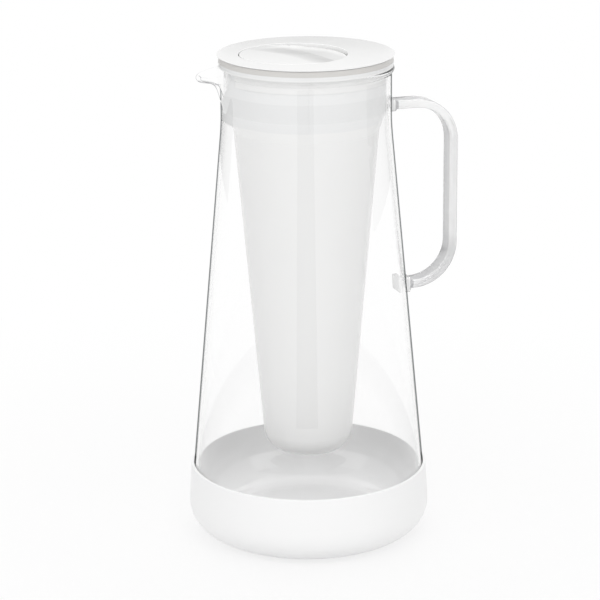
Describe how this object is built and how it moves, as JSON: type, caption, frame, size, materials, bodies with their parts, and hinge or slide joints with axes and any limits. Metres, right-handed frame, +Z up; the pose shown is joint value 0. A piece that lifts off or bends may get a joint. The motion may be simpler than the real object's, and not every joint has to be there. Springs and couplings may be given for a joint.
{
  "type": "water filter pitcher",
  "caption": "Glass water filter pitcher on a silicone base, with a lift-out hopper and filter housing, and a lid with a rocking flip cap.",
  "frame": {"origin": "centre of the flat foot of the silicone base, on the table", "axes": "+Z up along the jug's axis, +X towards the handle, -X towards the spout"},
  "size_m": [0.1521, 0.133, 0.27],
  "materials": {
    "borosilicate_glass": "clear polished borosilicate glass",
    "handle_glass": "clear polished borosilicate glass",
    "base_silicone": "white satin silicone",
    "hopper_plastic": "milky translucent plastic",
    "housing_plastic": "milky translucent plastic",
    "gasket_silicone": "soft satin silicone",
    "seal_rubber": "soft matt rubber",
    "outlet_plastic": "satin plastic",
    "membrane_case_plastic": "pale blue plastic",
    "fibre_bundle": "ivory hollow fibres",
    "potting_resin": "cast resin",
    "carbon_case_plastic": "grey moulded plastic",
    "mesh_screen": "fine woven mesh",
    "carbon_granules": "black granules",
    "lid_plastic": "white gloss plastic",
    "cap_plastic": "white gloss plastic",
    "lid_band_plastic": "warm pale grey satin plastic",
    "pin_steel": "turned stainless steel"
  },
  "bodies": {
    "jug": {"glass_body": "borosilicate_glass", "glass_handle": "handle_glass", "silicone_base": "base_silicone"},
    "hopper_unit": {"hopper": "hopper_plastic", "rim_gasket": "gasket_silicone", "filter_housing": "housing_plastic", "housing_seal": "seal_rubber", "outlet_cap": "outlet_plastic", "membrane_seal": "seal_rubber"},
    "membrane_cartridge": {"membrane_case": "membrane_case_plastic", "membrane_fibres": "fibre_bundle", "membrane_potting": "potting_resin", "membrane_grid": "membrane_case_plastic"},
    "carbon_cartridge": {"carbon_case": "carbon_case_plastic", "carbon_screens": "mesh_screen", "carbon_media": "carbon_granules", "carbon_lid": "carbon_case_plastic"},
    "lid": {"lid_cover": "lid_plastic", "lid_base": "lid_band_plastic", "lid_seal": "gasket_silicone", "cap_gasket": "gasket_silicone", "hinge_pins": "pin_steel"},
    "cap": {"flip_cap": "cap_plastic"}
  },
  "joints": [
    {"name": "hopper_lift", "type": "slide", "parent": "jug", "child": "hopper_unit", "axis": [0, 0, 1], "range_m": [0, 0.23]},
    {"name": "membrane_twist", "type": "hinge", "parent": "hopper_unit", "child": "membrane_cartridge", "pos_m": [0, 0, 0.181], "axis": [0, 0, 1], "range_deg": [0, 60]},
    {"name": "carbon_twist", "type": "hinge", "parent": "hopper_unit", "child": "carbon_cartridge", "pos_m": [0, 0, 0.09], "axis": [0, 0, 1], "range_deg": [0, 60]},
    {"name": "lid_lift", "type": "slide", "parent": "hopper_unit", "child": "lid", "axis": [0, 0, 1], "range_m": [0, 0.03]},
    {"name": "cap_flip", "type": "hinge", "parent": "lid", "child": "cap", "pos_m": [-0.0012, 0, 0.2681], "axis": [0, 1, 0], "range_deg": [0, 80]}
  ]
}
